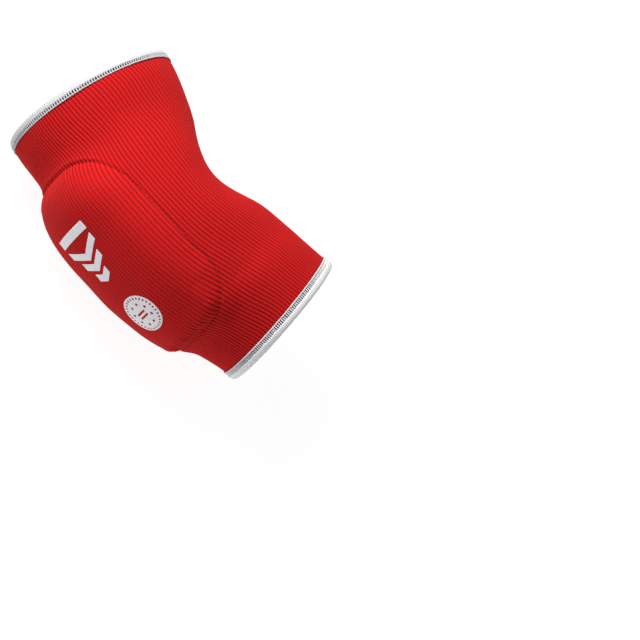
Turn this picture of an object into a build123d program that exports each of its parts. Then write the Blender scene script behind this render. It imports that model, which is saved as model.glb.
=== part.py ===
"""Elbow pad: a bent rib-knit sleeve with a foam pad at the back of the elbow and a white overlocked hem at each end.

Frame, in mm: the origin is the elbow's bending axis in the middle of the sleeve's width. +Z is that axis, +X runs
along the arm towards the hand, and +Y points to the crook of the arm, so the pad faces -Y. Stations are distances
along the bent middle line from the origin: negative on the upper arm, positive on the forearm.
"""

import os
from math import cos, pi, radians, sin

from build123d import *

os.makedirs("parts", exist_ok=True)

# ---------------------------------------------------------------- sizes, mm
HALF_BEND = 11.0          # degrees that each half of the sleeve leans towards the crook
BEND_REACH = 40.0         # the middle line curves this far each way from the elbow, then runs straight
KNIT = 1.6                # knit thickness
GAP = 0.2                 # clearance between layers
TOUCH = 0.05              # clearance between pieces that lie on each other

UPPER_END = -90.0         # station of the open end on the upper arm
LOWER_END = 105.0         # station of the open end on the forearm
UPPER_BAND = -74.0        # inner end of the upper cuff band
LOWER_BAND = 91.0         # inner end of the lower cuff band
UPPER_R = 58.5            # outside radius of the knit at the upper hem
LOWER_R = 47.5            # outside radius of the knit at the lower hem
HEM_FLAT = 8.0            # the knit is a straight tube this far in from each open end

# Outline of the sleeve at named stations: (station, half width along Z, half depth, shift towards the pad).
UPPER_TIP = (UPPER_END, UPPER_R, UPPER_R, 0.0)
UPPER_CUFF = (UPPER_END + HEM_FLAT, UPPER_R, UPPER_R, 0.0)
UPPER_ARM = (-50.0, 54.5, 55.0, 1.5)
ELBOW = (0.0, 54.0, 44.0, 8.0)
FOREARM = (50.0, 50.5, 51.0, 2.5)
LOWER_CUFF = (LOWER_END - HEM_FLAT, LOWER_R, LOWER_R, 0.0)
LOWER_TIP = (LOWER_END, LOWER_R, LOWER_R, 0.0)
OUTLINES = [UPPER_TIP, UPPER_CUFF, UPPER_ARM, ELBOW, FOREARM, LOWER_CUFF, LOWER_TIP]

# Pad, with its outline in plan as seen along Y.
PAD_X = 10.0              # middle of the pad
PAD_LENGTH = 137.0        # along the arm
PAD_WIDTH = 84.0          # across, measured straight
PAD_CORNER = 27.0         # corner radius
PAD_RISE = 13.0           # how far the pad's top stands out of the sleeve in the middle
PAD_END_RISE = 5.0        # the same above its two ends
PAD_SIDE_RISE = 3.0       # the same above its long sides
PAD_TURN = 51.0           # degrees round the sleeve from the pad's middle to its long sides
LINING = 1.0              # lining thickness
COMFORT = 4.0             # comfort foam thickness

# Hems
HEM = 4.2                 # width of the overlock roll on each face of the knit
THREAD = 0.85             # thickness of the overlock thread layer
ELASTIC_WIDTH = 3.6
ELASTIC = 0.8             # elastic band thickness
BAR_LENGTH = 2.2          # looper bars between the roll and the needle line
BAR_WIDE = 0.9
BAR_HIGH = 0.45
UPPER_BARS = 120
LOWER_BARS = 98
NEEDLE_R = 0.3            # needle thread radius

# Stitches round the pad
STITCHES = 92
STITCH_LENGTH = 2.6
STITCH_R = 0.35
STITCH_OUT = 1.0          # from the pad's wall

# Prints and label
PRINT = 0.25              # print thickness
MARK_X = -23.0            # middle of the angular mark's bar
MARK_BAR = 6.0            # the bar, along the arm
MARK_WIDTH = 31.0
CHEVRONS = 3              # in a row after the bar, each narrower than the one before
CHEVRON = 5.0             # each chevron's band, along the arm
CHEVRON_PITCH = 7.8
CHEVRON_RAKE = 0.53       # how far the point leads the arms, for each mm of half width
SEAL_X = 42.5             # middle of the round seal
SEAL_R = 14.5
LABEL_LENGTH = 11.0       # care label, along the arm
LABEL_WIDTH = 11.0
LABEL_THICK = 0.4
LABEL_CLEAR = 1.35        # from the knit at the hem, so that its free end clears the narrowing sleeve


# ---------------------------------------------------------------- the sleeve's shape
def lean(s):
    """The middle line's direction at a station, in radians from +X towards +Y."""
    return radians(HALF_BEND) * min(max(s, -BEND_REACH), BEND_REACH) / BEND_REACH


def middle(s):
    """The middle line's point at a station."""
    radius = BEND_REACH / radians(HALF_BEND)
    a = lean(s)
    straight = s - min(max(s, -BEND_REACH), BEND_REACH)
    return (radius * sin(a) + straight * cos(a), radius * (1 - cos(a)) + straight * sin(a), 0)


def along(s):
    """The middle line's direction at a station, towards the hand."""
    return (cos(lean(s)), sin(lean(s)), 0)


def across(s):
    """The plane across the sleeve at a station: its x is +Z, its y points towards the pad, its z along the arm."""
    return Plane(origin=middle(s), x_dir=(0, 0, 1), z_dir=along(s))


def lengthwise(s):
    """A plane through the middle line at a station: its x is +Z and its y runs along the arm."""
    a = lean(s)
    return Plane(origin=middle(s), x_dir=(0, 0, 1), z_dir=(-sin(a), cos(a), 0))


def slope(i, k):
    """Slope of the outline's value k at named station i, flat at both ends."""
    if i <= 1 or i >= len(OUTLINES) - 2:
        return 0.0
    before, after = OUTLINES[i - 1], OUTLINES[i + 1]
    return (after[k] - before[k]) / (after[0] - before[0])


def outline(s):
    """(half width, half depth, shift) of the sleeve's outside at any station, smooth through the named ones."""
    i = 0
    while i < len(OUTLINES) - 2 and s > OUTLINES[i + 1][0]:
        i += 1
    low, high = OUTLINES[i], OUTLINES[i + 1]
    step = high[0] - low[0]
    t = min(max((s - low[0]) / step, 0.0), 1.0)
    found = []
    for k in (1, 2, 3):
        start = (2 * t**3 - 3 * t**2 + 1) * low[k] + (t**3 - 2 * t**2 + t) * step * slope(i, k)
        end = (3 * t**2 - 2 * t**3) * high[k] + (t**3 - t**2) * step * slope(i + 1, k)
        found.append(start + end)
    return tuple(found)


def ease(t):
    """0 below 0, 1 above 1, and a smooth step between."""
    t = min(max(t, 0.0), 1.0)
    return t * t * (3 - 2 * t)


def pad_rise(s, turn):
    """How far the pad's top stands out of the sleeve at a station and a turn from the pad's middle, in degrees."""
    to_end = abs(s - PAD_X) / (PAD_LENGTH / 2 - 8)
    to_side = abs(turn) / PAD_TURN
    crown = PAD_RISE - 1.5 * to_end**2
    ends = PAD_END_RISE + (crown - PAD_END_RISE) * (1 - ease((to_end - 0.62) / 0.42))
    return PAD_SIDE_RISE + (ends - PAD_SIDE_RISE) * (1 - ease((to_side - 0.45) / 0.6))


def tube(stations, out, count=16):
    """A solid along the sleeve through the given stations. out(station, turn) moves its skin outwards."""
    with BuildPart() as solid:
        for s in stations:
            wide, deep, shift = outline(s)
            points = []
            for i in range(count):
                turn = 2 * pi * i / count
                more = out(s, min(360 * i / count, 360 - 360 * i / count))
                points.append(((wide + more) * sin(turn), shift + (deep + more) * cos(turn)))
            with BuildSketch(across(s)):
                with BuildLine():
                    Spline(*points, periodic=True)
                make_face()
        loft()
    return solid.part


def even(more):
    """An out function for tube() that is the same everywhere."""
    return lambda s, turn: more


def over_pad(more):
    """An out function for tube() that follows the pad's top."""
    return lambda s, turn: pad_rise(s, turn) + more


def pad_block(inset):
    """The pad's outline in plan as a straight block along Y, smaller by inset on each side."""
    with BuildPart() as block:
        with BuildSketch(Plane((PAD_X, -6, 0), x_dir=(1, 0, 0), z_dir=(0, -1, 0))):
            RectangleRounded(PAD_LENGTH - 2 * inset, PAD_WIDTH - 2 * inset, PAD_CORNER - inset)
        extrude(amount=100)
    return block.part


def wall_y(x, z, out):
    """Y of the sleeve's outside, moved out by that much, on the pad's side at a given x and z."""
    s = x
    for _ in range(15):
        wide, deep, shift = outline(s)
        reach = shift + (deep + out) * (1 - (z / (wide + out)) ** 2) ** 0.5
        s += x - (middle(s)[0] + sin(lean(s)) * reach)
    return middle(s)[1] - cos(lean(s)) * reach


SLEEVE_STATIONS = [-74, -50, -25, 0, 25, 50, 70, 91]
PAD_STATIONS = [-72, -53, -45, -36, -27, -8, 10, 28, 47, 56, 65, 73, 90]

sleeve_outside = tube(SLEEVE_STATIONS, even(0))
sleeve_inside = tube(SLEEVE_STATIONS, even(-KNIT))

# ---------------------------------------------------------------- knit
with BuildPart() as upper_cuff_knit:
    ring = [UPPER_END, UPPER_END + 4, UPPER_CUFF[0], -78, UPPER_BAND - TOUCH]
    add(tube(ring, even(0)))
    add(tube([UPPER_END - 1] + ring[1:-1] + [UPPER_BAND + 1], even(-KNIT)), mode=Mode.SUBTRACT)
upper_cuff_knit.part.label = "upper_cuff_knit"
export_step(upper_cuff_knit.part, "parts/upper_cuff_knit.step")

with BuildPart() as lower_cuff_knit:
    ring = [LOWER_BAND + TOUCH, 94, LOWER_CUFF[0], LOWER_END - 4, LOWER_END]
    add(tube(ring, even(0)))
    add(tube([LOWER_BAND - 1] + ring[1:-1] + [LOWER_END + 1], even(-KNIT)), mode=Mode.SUBTRACT)
lower_cuff_knit.part.label = "lower_cuff_knit"
export_step(lower_cuff_knit.part, "parts/lower_cuff_knit.step")

with BuildPart() as sleeve_knit:
    add(sleeve_outside)
    add(sleeve_inside, mode=Mode.SUBTRACT)
    add(pad_block(-TOUCH), mode=Mode.SUBTRACT)
sleeve_knit.part.label = "sleeve_knit"
export_step(sleeve_knit.part, "parts/sleeve_knit.step")

with BuildPart() as pad_cover:
    add(tube(PAD_STATIONS, over_pad(0)))
    add(pad_block(0), mode=Mode.INTERSECT)
    add(sleeve_inside, mode=Mode.SUBTRACT)
    with BuildPart(mode=Mode.SUBTRACT):
        add(tube(PAD_STATIONS, over_pad(-KNIT)))
        add(pad_block(KNIT), mode=Mode.INTERSECT)
pad_cover.part.label = "pad_cover"
export_step(pad_cover.part, "parts/pad_cover.step")

# ---------------------------------------------------------------- pad layers, from the arm outwards
with BuildPart() as pad_lining:
    add(tube(SLEEVE_STATIONS, even(LINING - KNIT)))
    add(pad_block(KNIT + GAP), mode=Mode.INTERSECT)
    add(sleeve_inside, mode=Mode.SUBTRACT)
pad_lining.part.label = "pad_lining"
export_step(pad_lining.part, "parts/pad_lining.step")

COMFORT_LOW = LINING - KNIT + TOUCH
COMFORT_HIGH = COMFORT_LOW + COMFORT
with BuildPart() as comfort_foam:
    add(tube(PAD_STATIONS, over_pad(-KNIT - GAP)))
    add(pad_block(KNIT + GAP), mode=Mode.INTERSECT)
    add(tube(SLEEVE_STATIONS, even(COMFORT_HIGH)), mode=Mode.INTERSECT)
    add(tube(SLEEVE_STATIONS, even(COMFORT_LOW)), mode=Mode.SUBTRACT)
comfort_foam.part.label = "comfort_foam"
export_step(comfort_foam.part, "parts/comfort_foam.step")

with BuildPart() as impact_foam:
    add(tube(PAD_STATIONS, over_pad(-KNIT - GAP)))
    add(pad_block(KNIT + GAP), mode=Mode.INTERSECT)
    add(tube(SLEEVE_STATIONS, even(COMFORT_HIGH + TOUCH)), mode=Mode.SUBTRACT)
impact_foam.part.label = "impact_foam"
export_step(impact_foam.part, "parts/impact_foam.step")

# ---------------------------------------------------------------- stitches round the pad
with BuildSketch() as stitch_line:
    RectangleRounded(
        PAD_LENGTH + 2 * STITCH_OUT, PAD_WIDTH + 2 * STITCH_OUT, PAD_CORNER + STITCH_OUT
    )
stitch_path = stitch_line.sketch.wires()[0]


def stitch_at(t, out):
    """A point on the line of stitches, t from 0 to 1 round the pad, out from the sleeve's outside."""
    at = stitch_path @ t
    return Vector(PAD_X + at.X, wall_y(PAD_X + at.X, at.Y, out), at.Y)


def stitches(count, out):
    """Places for short threads round the pad, each with its z along the thread."""
    places = []
    for i in range(count):
        start = stitch_at(i / count, out)
        end = stitch_at((i + 0.4) / count, out)
        places.append(Plane(origin=start, z_dir=end - start))
    return places


with BuildPart() as pad_seam_thread:
    outer_stitches = stitches(STITCHES, STITCH_R + 0.15)
    inner_stitches = stitches(STITCHES, -KNIT - STITCH_R - 0.15)
    with Locations(*outer_stitches, *inner_stitches):
        Cylinder(STITCH_R, STITCH_LENGTH)
pad_seam_thread.part.label = "pad_seam_thread"
export_step(pad_seam_thread.part, "parts/pad_seam_thread.step")


# ---------------------------------------------------------------- hems
# side is -1 at the upper arm's end and 1 at the forearm's. Heights in a profile run along the arm from the open end.
def hem_ring(end, side, near_r, far_r, inner, outer):
    """A plain ring round the hem, from near_r to far_r, between two distances in from the open end."""
    with BuildPart() as ring:
        with BuildSketch(lengthwise(end)):
            with Locations(((near_r + far_r) / 2, -side * (inner + outer) / 2)):
                Rectangle(far_r - near_r, outer - inner)
        revolve(axis=Axis(middle(end), along(end)))
    return ring.part


def overlock(end, side, radius):
    """Thread wrapped over the edge: outside the knit, over its end and inside the elastic."""
    outside = radius + TOUCH + THREAD
    inside = radius - KNIT - ELASTIC - 3 * TOUCH - THREAD
    tall = HEM + THREAD + TOUCH
    with BuildPart() as roll:
        with BuildSketch(lengthwise(end)):
            with Locations(((inside + outside) / 2, side * (tall / 2 - HEM))):
                RectangleRounded(outside - inside, tall, THREAD / 2)
            with Locations(((inside + outside) / 2, side * (TOUCH - HEM - THREAD) / 2)):
                Rectangle(outside - inside - 2 * THREAD, HEM + THREAD + TOUCH, mode=Mode.SUBTRACT)
        revolve(axis=Axis(middle(end), along(end)))
    return roll.part


def hem_bars(end, side, radius, count):
    """The ladder of short threads between the roll and the needle line."""
    with BuildPart() as ladder:
        with Locations(across(end - side * (HEM + GAP + BAR_LENGTH / 2))):
            with PolarLocations(radius + TOUCH + BAR_HIGH / 2, count):
                Box(BAR_HIGH, BAR_WIDE, BAR_LENGTH)
    return ladder.part


def needle_line(end, side, radius):
    """The thin thread line on the knit side of the ladder."""
    in_from_end = HEM + 2 * GAP + BAR_LENGTH + NEEDLE_R
    with BuildPart() as line:
        with BuildSketch(lengthwise(end)):
            with Locations((radius + TOUCH + NEEDLE_R, -side * in_from_end)):
                Circle(NEEDLE_R)
        revolve(axis=Axis(middle(end), along(end)))
    return line.part


with BuildPart() as upper_cuff_overlock:
    add(overlock(UPPER_END, -1, UPPER_R))
upper_cuff_overlock.part.label = "upper_cuff_overlock"
export_step(upper_cuff_overlock.part, "parts/upper_cuff_overlock.step")

with BuildPart() as lower_cuff_overlock:
    add(overlock(LOWER_END, 1, LOWER_R))
lower_cuff_overlock.part.label = "lower_cuff_overlock"
export_step(lower_cuff_overlock.part, "parts/lower_cuff_overlock.step")

with BuildPart() as upper_cuff_bars:
    add(hem_bars(UPPER_END, -1, UPPER_R, UPPER_BARS))
upper_cuff_bars.part.label = "upper_cuff_bars"
export_step(upper_cuff_bars.part, "parts/upper_cuff_bars.step")

with BuildPart() as lower_cuff_bars:
    add(hem_bars(LOWER_END, 1, LOWER_R, LOWER_BARS))
lower_cuff_bars.part.label = "lower_cuff_bars"
export_step(lower_cuff_bars.part, "parts/lower_cuff_bars.step")

with BuildPart() as upper_cuff_needle_thread:
    add(needle_line(UPPER_END, -1, UPPER_R))
upper_cuff_needle_thread.part.label = "upper_cuff_needle_thread"
export_step(upper_cuff_needle_thread.part, "parts/upper_cuff_needle_thread.step")

with BuildPart() as lower_cuff_needle_thread:
    add(needle_line(LOWER_END, 1, LOWER_R))
lower_cuff_needle_thread.part.label = "lower_cuff_needle_thread"
export_step(lower_cuff_needle_thread.part, "parts/lower_cuff_needle_thread.step")

with BuildPart() as upper_cuff_elastic:
    band_r = UPPER_R - KNIT - TOUCH
    add(hem_ring(UPPER_END, -1, band_r - ELASTIC, band_r, GAP, GAP + ELASTIC_WIDTH))
upper_cuff_elastic.part.label = "upper_cuff_elastic"
export_step(upper_cuff_elastic.part, "parts/upper_cuff_elastic.step")

with BuildPart() as lower_cuff_elastic:
    band_r = LOWER_R - KNIT - TOUCH
    add(hem_ring(LOWER_END, 1, band_r - ELASTIC, band_r, GAP, GAP + ELASTIC_WIDTH))
lower_cuff_elastic.part.label = "lower_cuff_elastic"
export_step(lower_cuff_elastic.part, "parts/lower_cuff_elastic.step")

# ---------------------------------------------------------------- care label, inside the upper cuff
LABEL_R = UPPER_R - KNIT - LABEL_CLEAR
LABEL_START = HEM + GAP
LABEL_SIDE = 66.0         # degrees round the cuff from +Z, towards the crook of the arm

with BuildPart() as care_label:
    with BuildSketch(across(UPPER_END).offset(LABEL_START)):
        with PolarLocations(LABEL_R - LABEL_THICK / 2, 1, start_angle=-LABEL_SIDE):
            Rectangle(LABEL_THICK, LABEL_WIDTH)
    extrude(amount=LABEL_LENGTH)
care_label.part.label = "care_label"
export_step(care_label.part, "parts/care_label.step")

# ---------------------------------------------------------------- prints on the pad
print_skin_outside = tube(PAD_STATIONS, over_pad(TOUCH + PRINT))
print_skin_inside = tube(PAD_STATIONS, over_pad(TOUCH))
plan = Plane((0, -6, 0), x_dir=(1, 0, 0), z_dir=(0, -1, 0))

with BuildPart() as pad_mark:
    with BuildSketch(plan):
        with Locations((MARK_X, 0)):
            RectangleRounded(MARK_BAR, MARK_WIDTH, 1)
        for i in range(CHEVRONS):
            point_x = MARK_X + MARK_BAR + CHEVRON_RAKE * MARK_WIDTH / 2 + i * CHEVRON_PITCH
            half = MARK_WIDTH / 2 * (1 - 0.3 * i)
            arm_x = point_x - CHEVRON_RAKE * half
            with BuildLine():
                Polyline(
                    (arm_x, -half),
                    (arm_x + CHEVRON, -half),
                    (point_x + CHEVRON, 0),
                    (arm_x + CHEVRON, half),
                    (arm_x, half),
                    (point_x, 0),
                    close=True,
                )
            make_face()
    extrude(amount=100)
    add(print_skin_outside, mode=Mode.INTERSECT)
    add(print_skin_inside, mode=Mode.SUBTRACT)
pad_mark.part.label = "pad_mark"
export_step(pad_mark.part, "parts/pad_mark.step")

with BuildPart() as pad_seal:
    with BuildSketch(plan):
        with Locations((SEAL_X, 0)):
            Circle(SEAL_R)
            Circle(SEAL_R * 0.72, mode=Mode.SUBTRACT)
            Circle(SEAL_R * 0.68)
            SlotOverall(SEAL_R * 0.7, 1.4, mode=Mode.SUBTRACT)
            with PolarLocations(SEAL_R * 0.45, 6, start_angle=30):
                Circle(1.0, mode=Mode.SUBTRACT)
    extrude(amount=100)
    add(print_skin_outside, mode=Mode.INTERSECT)
    add(print_skin_inside, mode=Mode.SUBTRACT)
pad_seal.part.label = "pad_seal"
export_step(pad_seal.part, "parts/pad_seal.step")
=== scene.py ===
"""Elbow pad: the looks of the knit sleeve, its pad, hems, prints and inner layers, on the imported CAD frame.

Shapes are worked out in mm and put into Blender in metres. The sleeve is described by s, the distance along
its bent middle line from the elbow (negative on the upper arm), and turn, the angle round it from the middle
of the pad.
"""

import math

import bmesh
import bpy
import numpy as np
from mathutils import Matrix, Vector
from mathutils.geometry import delaunay_2d_cdt


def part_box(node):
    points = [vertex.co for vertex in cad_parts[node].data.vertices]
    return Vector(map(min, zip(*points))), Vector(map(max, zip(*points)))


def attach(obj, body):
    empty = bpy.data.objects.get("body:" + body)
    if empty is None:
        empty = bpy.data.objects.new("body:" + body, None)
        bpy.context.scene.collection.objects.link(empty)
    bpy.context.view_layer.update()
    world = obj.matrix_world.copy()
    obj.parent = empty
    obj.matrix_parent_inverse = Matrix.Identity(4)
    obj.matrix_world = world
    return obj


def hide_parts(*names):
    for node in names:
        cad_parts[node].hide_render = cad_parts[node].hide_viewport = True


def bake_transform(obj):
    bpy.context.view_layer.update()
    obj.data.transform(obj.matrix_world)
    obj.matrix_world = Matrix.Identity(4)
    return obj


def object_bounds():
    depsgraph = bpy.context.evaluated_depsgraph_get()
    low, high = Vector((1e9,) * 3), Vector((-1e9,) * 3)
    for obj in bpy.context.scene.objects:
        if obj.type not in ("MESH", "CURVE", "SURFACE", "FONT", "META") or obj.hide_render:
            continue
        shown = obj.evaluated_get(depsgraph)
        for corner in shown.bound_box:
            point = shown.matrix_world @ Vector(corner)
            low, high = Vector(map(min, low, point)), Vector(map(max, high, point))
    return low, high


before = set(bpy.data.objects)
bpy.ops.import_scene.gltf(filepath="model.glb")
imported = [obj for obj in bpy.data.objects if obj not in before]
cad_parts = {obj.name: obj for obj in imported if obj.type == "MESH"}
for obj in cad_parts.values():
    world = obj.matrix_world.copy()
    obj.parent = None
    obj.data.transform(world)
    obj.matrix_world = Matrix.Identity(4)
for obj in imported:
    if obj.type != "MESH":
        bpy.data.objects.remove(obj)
cad_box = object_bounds()

MM = 0.001
TAU = 2 * math.pi

# ------------------------------------------------------------------ sizes, mm
HALF_BEND = math.radians(11.0)
BEND_REACH = 40.0
UPPER_END, LOWER_END = -90.0, 105.0
UPPER_R, LOWER_R = 58.5, 47.5
KNIT = 1.6               # knit thickness
HEM_FLAT = 8.0           # the sleeve is a straight tube this far in from each open end
# station, half width, half depth, shift towards the pad
OUTLINES = np.array([
    (UPPER_END, UPPER_R, UPPER_R, 0.0),
    (UPPER_END + HEM_FLAT, UPPER_R, UPPER_R, 0.0),
    (-50.0, 54.5, 55.0, 1.5),
    (0.0, 54.0, 44.0, 8.0),
    (50.0, 50.5, 51.0, 2.5),
    (LOWER_END - HEM_FLAT, LOWER_R, LOWER_R, 0.0),
    (LOWER_END, LOWER_R, LOWER_R, 0.0),
])
RIBS = 130
RIB_DEPTH = 0.52
RIB_TWIST = 3.8          # how far the ribs turn at the upper hem, in ribs
RIB_DRIFT = 0.20         # how far they wander, in ribs
COURSE = 1.35            # one row of loops
HEM = 4.0                # width of the overlock roll
TRIM = 1.5               # the knit stops this far inside each hem's edge
TUCK = 1.7               # how far the knit goes in under the roll
HEM_DIP = 0.35           # how far the hem's stitches press the knit in
ELASTIC = 0.8            # elastic band thickness
HEM_GAP = 0.15           # clearance between the layers in a hem
THREAD = 0.85            # thickness of the overlock thread inside the hem
UPPER_LADDER, LOWER_LADDER = 1.3, 2.5
NEEDLE = 1.2

STAND = 1.8              # how far the knit stands out behind the tight lower hem
PULL_UPPER, PULL_LOWER = 1.9, 2.3        # how far each hem draws in to its open edge

PAD_S = 8.8
PAD_HALF_LENGTH = 57.0
PAD_HALF_WIDTH = 49.7
PAD_TAPER = 0.036        # the pad narrows towards the upper arm by this much a side, for each mm
PAD_CORNER = 30.4
PAD_RISE = 15.0
HAND_FALL = 3.5          # how much lower the pad is towards the hand
FOOT_SIDE, FOOT_ARM, FOOT_HAND = 3.2, 2.5, 5.8       # the knit's height at the seam
SLOPE_SIDE, SLOPE_ARM, SLOPE_HAND = 25.0, 25.0, 8.0     # width of the pad's shoulder
FLARE = 2.6              # the knit's slack on the pad's side, between the pad and the lower hem


# ------------------------------------------------------------------ the sleeve's shape
def ease(t):
    t = np.clip(t, 0.0, 1.0)
    return t * t * (3 - 2 * t)


def outline(s):
    """Half width, half depth and shift at each station, smooth through the named ones, as in the CAD."""
    s = np.asarray(s, float)
    at = OUTLINES[:, 0]
    i = np.clip(np.searchsorted(at, s, side="left") - 1, 0, len(at) - 2)
    step = (at[i + 1] - at[i])[..., None]
    t = np.clip((s - at[i])[..., None] / step, 0, 1)
    slopes = np.zeros((len(at), 3))
    for k in range(2, len(at) - 2):
        slopes[k] = (OUTLINES[k + 1, 1:] - OUTLINES[k - 1, 1:]) / (at[k + 1] - at[k - 1])
    low, high = OUTLINES[i, 1:], OUTLINES[i + 1, 1:]
    start = (2 * t**3 - 3 * t**2 + 1) * low + (t**3 - 2 * t**2 + t) * step * slopes[i]
    end = (3 * t**2 - 2 * t**3) * high + (t**3 - t**2) * step * slopes[i + 1]
    both = start + end
    return both[..., 0], both[..., 1], both[..., 2]


def middle(s):
    """The middle line's points and its directions along the arm and towards the pad."""
    s = np.asarray(s, float)
    near = np.clip(s, -BEND_REACH, BEND_REACH)
    a = HALF_BEND * near / BEND_REACH
    radius = BEND_REACH / HALF_BEND
    x = radius * np.sin(a) + (s - near) * np.cos(a)
    y = radius * (1 - np.cos(a)) + (s - near) * np.sin(a)
    zero = np.zeros_like(x)
    point = np.stack([x, y, zero], -1)
    along = np.stack([np.cos(a), np.sin(a), zero], -1)
    padward = np.stack([np.sin(a), -np.cos(a), zero], -1)
    return point, along, padward


def skin(s, turn, out=0.0):
    """Points of the sleeve's outside, moved out by that much."""
    wide, deep, shift = outline(s)
    point, _, padward = middle(s)
    up = np.array([0.0, 0.0, 1.0])
    reach = (shift + (deep + out) * np.cos(turn))[..., None]
    return point + padward * reach + up * ((wide + out) * np.sin(turn))[..., None]


def girth_radius(s):
    wide, deep, _ = outline(s)
    return (wide + deep) / 2


def waves(seed, count, low, high, x, y):
    """A smooth random field of size about 1, from sines with wavelengths from low to high."""
    random = np.random.default_rng(seed)
    total = np.zeros(np.broadcast(x, y).shape)
    for _ in range(count):
        a = random.uniform(0, TAU)
        k = TAU / random.uniform(low, high)
        total += np.sin(k * (math.cos(a) * x + math.sin(a) * y) + random.uniform(0, TAU))
    return total / math.sqrt(count)


def pad_taper(s):
    return PAD_TAPER * np.clip(45 - s, 0, 90)


def pad_edge(s, w, inset=0.0):
    """Distance to the pad's outline in the unrolled knit, negative inside it.

    The second value is 0 along the pad's sides and 1 at its ends.
    """
    corner = PAD_CORNER - inset
    x = np.abs(s - PAD_S) - (PAD_HALF_LENGTH - inset - corner)
    y = np.abs(w) - (PAD_HALF_WIDTH - pad_taper(s) - inset - corner)
    d = np.hypot(np.maximum(x, 0), np.maximum(y, 0)) + np.minimum(np.maximum(x, y), 0) - corner
    ends = ease((x - y) / 26 + 0.5)
    return d, ends


def pad_height(s, w):
    """How far the pad lifts the knit: a shoulder inside the seam, and a slope outside it down to the arm."""
    d, ends = pad_edge(s, w)
    handward = ease((s - PAD_S) / 30 + 0.5)
    wide = SLOPE_SIDE * (1 - ends) + ends * (SLOPE_ARM * (1 - handward) + SLOPE_HAND * handward)
    t = np.clip(-d / wide, 0, 1)
    shoulder = 1 - (1 - t) ** 2
    crown = PAD_RISE - HAND_FALL * ease((s - 12) / 52)
    foot = FOOT_SIDE * (1 - ends) + ends * (FOOT_ARM * (1 - handward) + FOOT_HAND * handward)
    beside = foot * (1 - np.clip(d / (22 - 8 * ends), 0, 1)) ** 2
    groove = -(0.5 + 0.6 * ends) * np.exp(-((d + 0.2) / 1.3) ** 2)
    lip = (0.15 * (1 - ends) + 0.55 * ends * (1 - handward)) * np.exp(-((d - 2.1) / 1.2) ** 2)
    lumps = 0.3 * waves(11, 7, 22, 60, s, w) * ease(t)
    return np.where(d < 0, foot + (crown - foot) * shoulder, beside) + groove + lip + lumps


def sewn(s):
    """1 under the hem's stitches, 0 on the free knit."""
    upper = ease((UPPER_END + HEM + UPPER_LADDER + 1.6 - s) / 1.4)
    lower = ease((s - (LOWER_END - HEM - LOWER_LADDER - 1.6)) / 1.4)
    return np.maximum(upper, lower)


def crowding(s, turn):
    """How far a rib lies from its even place, in radians. Ribs lie widest apart on the sleeve's two sides."""
    stations = [UPPER_END, -50.0, -10.0, 25.0, 60.0, LOWER_END]
    to_pad = np.interp(s, stations, [0.25, 0.15, 0.06, 0.04, 0.02, -0.04])
    off_sides = np.interp(s, stations, [0.0, 0.04, 0.14, 0.10, 0.04, 0.0])
    return to_pad * np.sin(turn) + off_sides * np.sin(2 * turn)


def even_turn(s, turn):
    """The turn a rib would have if all ribs were evenly spread."""
    return turn + crowding(s, turn)


def crowded_turn(s, even):
    """The reverse of even_turn."""
    turn = even
    for _ in range(12):
        turn = even - crowding(s, turn)
    return turn


def rib_shift(s, turn):
    """How far the ribs wander from their places, in ribs: a small drift, and a twist towards the upper hem."""
    twist = RIB_TWIST * np.clip((-5.0 - s) / 85.0, 0, 1) ** 1.6
    return RIB_DRIFT * waves(3, 8, 26, 90, s, turn * 50.0) - twist


def rib_profile(phase):
    """0 in the groove between two ribs, 1 on a rib."""
    return np.abs(np.sin(math.pi * phase)) ** 0.62


def knit_out(s, turn, flat=0.0, phase=None):
    """How far the knit's outside lies from the plain sleeve, with ribs, pad and small unevenness."""
    w = turn * girth_radius(s)
    d, ends = pad_edge(s, w)
    if phase is None:
        phase = even_turn(s, turn) / TAU * RIBS - rib_shift(s, turn)
    depth = RIB_DEPTH * (1 + 0.14 * waves(5, 8, 6, 30, s, w))
    on_pad = ease(-d / 10)
    depth = depth * (1 - 0.45 * on_pad)
    pucker = np.exp(-((d + 4.0) / 4.0) ** 2) * (0.15 + 0.85 * ends)
    depth = depth * (1 + 1.1 * pucker)
    hem = sewn(s)
    depth = depth * (1 - 0.85 * hem)
    ribs = -depth * (1 - rib_profile(phase))
    gather = 0.32 * pucker * waves(8, 10, 3.2, 9.0, w * ends + s * (1 - ends), 0.3 * s)
    body = 0.45 * waves(21, 6, 40, 110, s, w) * (1 - hem) * (1 - on_pad)
    handward = np.clip((s - 66) / 30, 0, 1)
    slack = ease((s - 56) / 16) * FLARE * (0.55 + 0.45 * np.cos(turn)) * (1 - handward) + STAND * handward
    tuck = TUCK * (ease((UPPER_END + HEM - s) / 2.4) + ease((s - LOWER_END + HEM) / 2.4))
    return pad_height(s, w) + ribs * (1 - flat) + gather + body + slack - tuck - HEM_DIP * hem


# ------------------------------------------------------------------ mesh helpers
def new_object(name, points_mm, faces, smooth=True):
    mesh = bpy.data.meshes.new(name)
    points = np.asarray(points_mm, float).reshape(-1, 3) * MM
    mesh.from_pydata(points.tolist(), [], [list(map(int, f)) for f in faces])
    mesh.validate()
    mesh.polygons.foreach_set("use_smooth", [smooth] * len(mesh.polygons))
    mesh.update()
    obj = bpy.data.objects.new(name, mesh)
    bpy.context.scene.collection.objects.link(obj)
    return obj


def grid_faces(rows, columns, first=0, wrap=True, flip=False):
    """Quads of a grid of points stored row by row. wrap joins the last column to the first."""
    r, c = np.meshgrid(np.arange(rows - 1), np.arange(columns if wrap else columns - 1), indexing="ij")
    a = r * columns + c
    b = r * columns + (c + 1) % columns
    quads = np.stack([a, b, b + columns, a + columns], -1).reshape(-1, 4) + first
    return quads[:, ::-1] if flip else quads


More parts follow.
